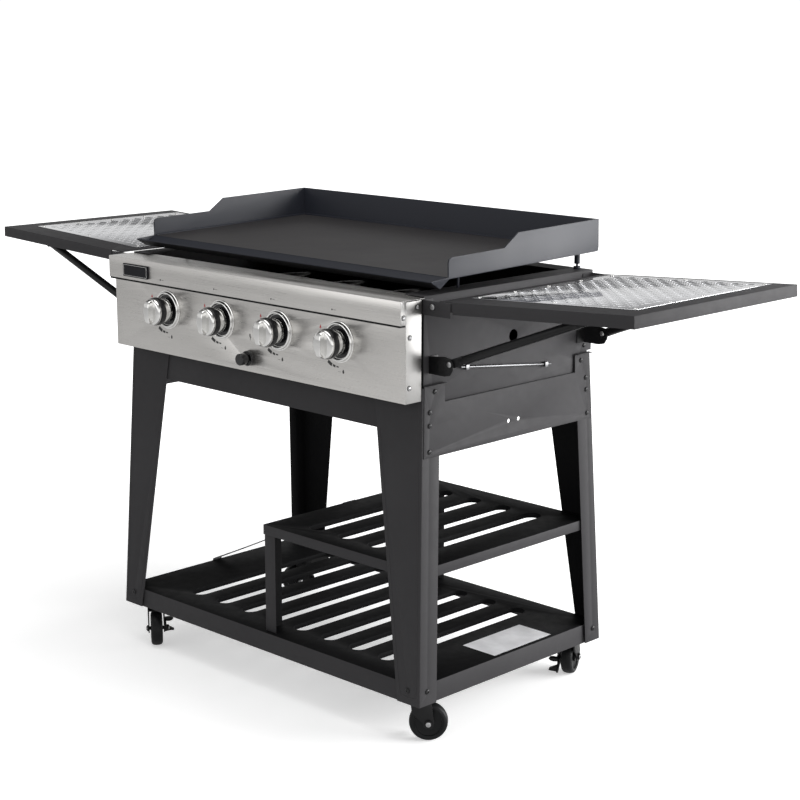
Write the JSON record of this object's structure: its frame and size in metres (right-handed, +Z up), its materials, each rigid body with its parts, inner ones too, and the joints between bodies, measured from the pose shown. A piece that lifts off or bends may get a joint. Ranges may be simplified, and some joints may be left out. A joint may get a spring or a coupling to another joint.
{
  "type": "flat top griddle",
  "caption": "Free-standing flat top gas griddle on a splayed steel cart with castors, folding side shelves, control knobs, a walled steel plate and slotted lower shelves.",
  "frame": {"origin": "centre of the bounding box on the floor", "axes": "+Z up, the front with the knobs faces -Y, +X towards the right-hand side shelf as the user sees it"},
  "size_m": [1.7486, 0.6166, 0.9335],
  "materials": {
    "powder_black": "fine satin powder coat",
    "stainless": "brushed",
    "bright_chrome": "polished",
    "zinc_steel": "zinc plated",
    "griddle_steel": "satin black",
    "tread_inlay": "embossed",
    "castor_steel": "satin",
    "castor_rubber": "matt",
    "gas_brass": "machined",
    "gas_tube": "drawn tube",
    "webbing": "woven",
    "button_plastic": "gloss"
  },
  "bodies": {
    "cart": {"apron_front": "powder_black", "apron_left": "powder_black", "apron_rear": "powder_black", "apron_right": "powder_black", "bottle_strap": "webbing", "bottom_shelf": "powder_black", "brace_brackets": "powder_black", "burner_pan": "powder_black", "burners": "gas_tube", "cart_screws": "zinc_steel", "castor_plates": "zinc_steel", "control_panel": "stainless", "gas_inlet": "gas_brass", "gas_manifold": "gas_tube", "gas_valves": "gas_brass", "head_rear_wall": "powder_black", "head_side_left": "powder_black", "head_side_right": "powder_black", "hinge_ears": "powder_black", "igniter_body": "button_plastic", "igniter_electrodes": "button_plastic", "knob_bezels": "bright_chrome", "leg_front_left": "powder_black", "leg_front_right": "powder_black", "leg_rear_left": "powder_black", "leg_rear_right": "powder_black", "lighting_rod": "bright_chrome", "mid_shelf": "powder_black", "mid_shelf_uprights": "powder_black", "pivot_pins": "zinc_steel", "upper_fascia": "stainless"},
    "valve_stem_1": {"valve_stem_1": "zinc_steel"},
    "knob_1": {"knob_1": "bright_chrome"},
    "valve_stem_2": {"valve_stem_2": "zinc_steel"},
    "knob_2": {"knob_2": "bright_chrome"},
    "valve_stem_3": {"valve_stem_3": "zinc_steel"},
    "knob_3": {"knob_3": "bright_chrome"},
    "valve_stem_4": {"valve_stem_4": "zinc_steel"},
    "knob_4": {"knob_4": "bright_chrome"},
    "igniter_button": {"igniter_button": "button_plastic"},
    "griddle_plate": {"griddle_plate": "griddle_steel"},
    "side_shelf_right": {"side_shelf_right": "powder_black", "shelf_inlay_right": "tread_inlay"},
    "side_shelf_left": {"side_shelf_left": "powder_black", "shelf_inlay_left": "tread_inlay"},
    "braces_right": {"braces_right": "powder_black"},
    "braces_left": {"braces_left": "powder_black"},
    "castor_fork_fr": {"castor_fork_fr": "castor_steel"},
    "castor_wheel_fr": {"castor_wheel_fr": "castor_rubber"},
    "castor_brake_fr": {"castor_brake_fr": "castor_steel"},
    "castor_fork_fl": {"castor_fork_fl": "castor_steel"},
    "castor_wheel_fl": {"castor_wheel_fl": "castor_rubber"},
    "castor_brake_fl": {"castor_brake_fl": "castor_steel"},
    "castor_fork_rr": {"castor_fork_rr": "castor_steel"},
    "castor_wheel_rr": {"castor_wheel_rr": "castor_rubber"},
    "castor_brake_rr": {"castor_brake_rr": "castor_steel"},
    "castor_fork_rl": {"castor_fork_rl": "castor_steel"},
    "castor_wheel_rl": {"castor_wheel_rl": "castor_rubber"},
    "castor_brake_rl": {"castor_brake_rl": "castor_steel"}
  },
  "joints": [
    {"name": "knob_turn_1", "type": "hinge", "parent": "cart", "child": "valve_stem_1", "pos_m": [-0.24588, -0.25929, 0.74], "axis": [0, -1, 0], "range_deg": [0, 210]},
    {"name": "knob_push_1", "type": "slide", "parent": "valve_stem_1", "child": "knob_1", "axis": [0, 1, 0], "range_m": [0, 0.005], "stiffness_N_per_m": 1500, "springref_m": -0.001},
    {"name": "knob_turn_2", "type": "hinge", "parent": "cart", "child": "valve_stem_2", "pos_m": [-0.08188, -0.25929, 0.74], "axis": [0, -1, 0], "range_deg": [0, 210]},
    {"name": "knob_push_2", "type": "slide", "parent": "valve_stem_2", "child": "knob_2", "axis": [0, 1, 0], "range_m": [0, 0.005], "stiffness_N_per_m": 1500, "springref_m": -0.001},
    {"name": "knob_turn_3", "type": "hinge", "parent": "cart", "child": "valve_stem_3", "pos_m": [0.08213, -0.25929, 0.74], "axis": [0, -1, 0], "range_deg": [0, 210]},
    {"name": "knob_push_3", "type": "slide", "parent": "valve_stem_3", "child": "knob_3", "axis": [0, 1, 0], "range_m": [0, 0.005], "stiffness_N_per_m": 1500, "springref_m": -0.001},
    {"name": "knob_turn_4", "type": "hinge", "parent": "cart", "child": "valve_stem_4", "pos_m": [0.24613, -0.25929, 0.74], "axis": [0, -1, 0], "range_deg": [0, 210]},
    {"name": "knob_push_4", "type": "slide", "parent": "valve_stem_4", "child": "knob_4", "axis": [0, 1, 0], "range_m": [0, 0.005], "stiffness_N_per_m": 1500, "springref_m": -0.001},
    {"name": "igniter_push", "type": "slide", "parent": "cart", "child": "igniter_button", "axis": [0, 1, 0], "range_m": [0, 0.006], "stiffness_N_per_m": 1200, "springref_m": -0.001},
    {"name": "plate_lift", "type": "slide", "parent": "cart", "child": "griddle_plate", "axis": [0, 0, 1], "range_m": [0, 0.1]},
    {"name": "shelf_fold_right", "type": "hinge", "parent": "cart", "child": "side_shelf_right", "pos_m": [0.43712, 0.02371, 0.821], "axis": [0, 1, 0], "range_deg": [0, 76]},
    {"name": "brace_fold_right", "type": "hinge", "parent": "cart", "child": "braces_right", "pos_m": [0.46213, 0.02371, 0.72], "axis": [0, 1, 0], "range_deg": [0, 94.5]},
    {"name": "shelf_fold_left", "type": "hinge", "parent": "cart", "child": "side_shelf_left", "pos_m": [-0.43688, 0.02371, 0.821], "axis": [0, -1, 0], "range_deg": [0, 74.5]},
    {"name": "brace_fold_left", "type": "hinge", "parent": "cart", "child": "braces_left", "pos_m": [-0.46187, 0.02371, 0.72], "axis": [0, -1, 0], "range_deg": [0, 92.7]},
    {"name": "castor_swivel_fr", "type": "hinge", "parent": "cart", "child": "castor_fork_fr", "pos_m": [0.38412, -0.19929, 0.08], "axis": [0, 0, 1], "continuous": true},
    {"name": "castor_roll_fr", "type": "hinge", "parent": "castor_fork_fr", "child": "castor_wheel_fr", "pos_m": [0.40387, -0.18088, 0.0365], "axis": [0.682, -0.7314, 0], "continuous": true},
    {"name": "castor_brake_fr", "type": "hinge", "parent": "castor_fork_fr", "child": "castor_brake_fr", "pos_m": [0.40387, -0.18088, 0.0365], "axis": [0.682, -0.7314, 0], "range_deg": [-22, 0]},
    {"name": "castor_swivel_fl", "type": "hinge", "parent": "cart", "child": "castor_fork_fl", "pos_m": [-0.38388, -0.19929, 0.08], "axis": [0, 0, 1], "continuous": true},
    {"name": "castor_roll_fl", "type": "hinge", "parent": "castor_fork_fl", "child": "castor_wheel_fl", "pos_m": [-0.36203, -0.21516, 0.0365], "axis": [-0.5878, -0.809, 0], "continuous": true},
    {"name": "castor_brake_fl", "type": "hinge", "parent": "castor_fork_fl", "child": "castor_brake_fl", "pos_m": [-0.36203, -0.21516, 0.0365], "axis": [-0.5878, -0.809, 0], "range_deg": [0, 22]},
    {"name": "castor_swivel_rr", "type": "hinge", "parent": "cart", "child": "castor_fork_rr", "pos_m": [0.38412, 0.24671, 0.08], "axis": [0, 0, 1], "continuous": true},
    {"name": "castor_roll_rr", "type": "hinge", "parent": "castor_fork_rr", "child": "castor_wheel_rr", "pos_m": [0.37357, 0.27156, 0.0365], "axis": [0.9205, 0.3907, 0], "continuous": true},
    {"name": "castor_brake_rr", "type": "hinge", "parent": "castor_fork_rr", "child": "castor_brake_rr", "pos_m": [0.37357, 0.27156, 0.0365], "axis": [0.9205, 0.3907, 0], "range_deg": [-22, 0]},
    {"name": "castor_swivel_rl", "type": "hinge", "parent": "cart", "child": "castor_fork_rl", "pos_m": [-0.38388, 0.24671, 0.08], "axis": [0, 0, 1], "continuous": true},
    {"name": "castor_roll_rl", "type": "hinge", "parent": "castor_fork_rl", "child": "castor_wheel_rl", "pos_m": [-0.39737, 0.22332, 0.0365], "axis": [-0.866, 0.5, 0], "continuous": true},
    {"name": "castor_brake_rl", "type": "hinge", "parent": "castor_fork_rl", "child": "castor_brake_rl", "pos_m": [-0.39737, 0.22332, 0.0365], "axis": [-0.866, 0.5, 0], "range_deg": [0, 22]}
  ],
  "couplings": [
    {"joint": "brace_fold_right", "follows": "shelf_fold_right", "ratio": 1.24},
    {"joint": "brace_fold_left", "follows": "shelf_fold_left", "ratio": 1.24}
  ]
}
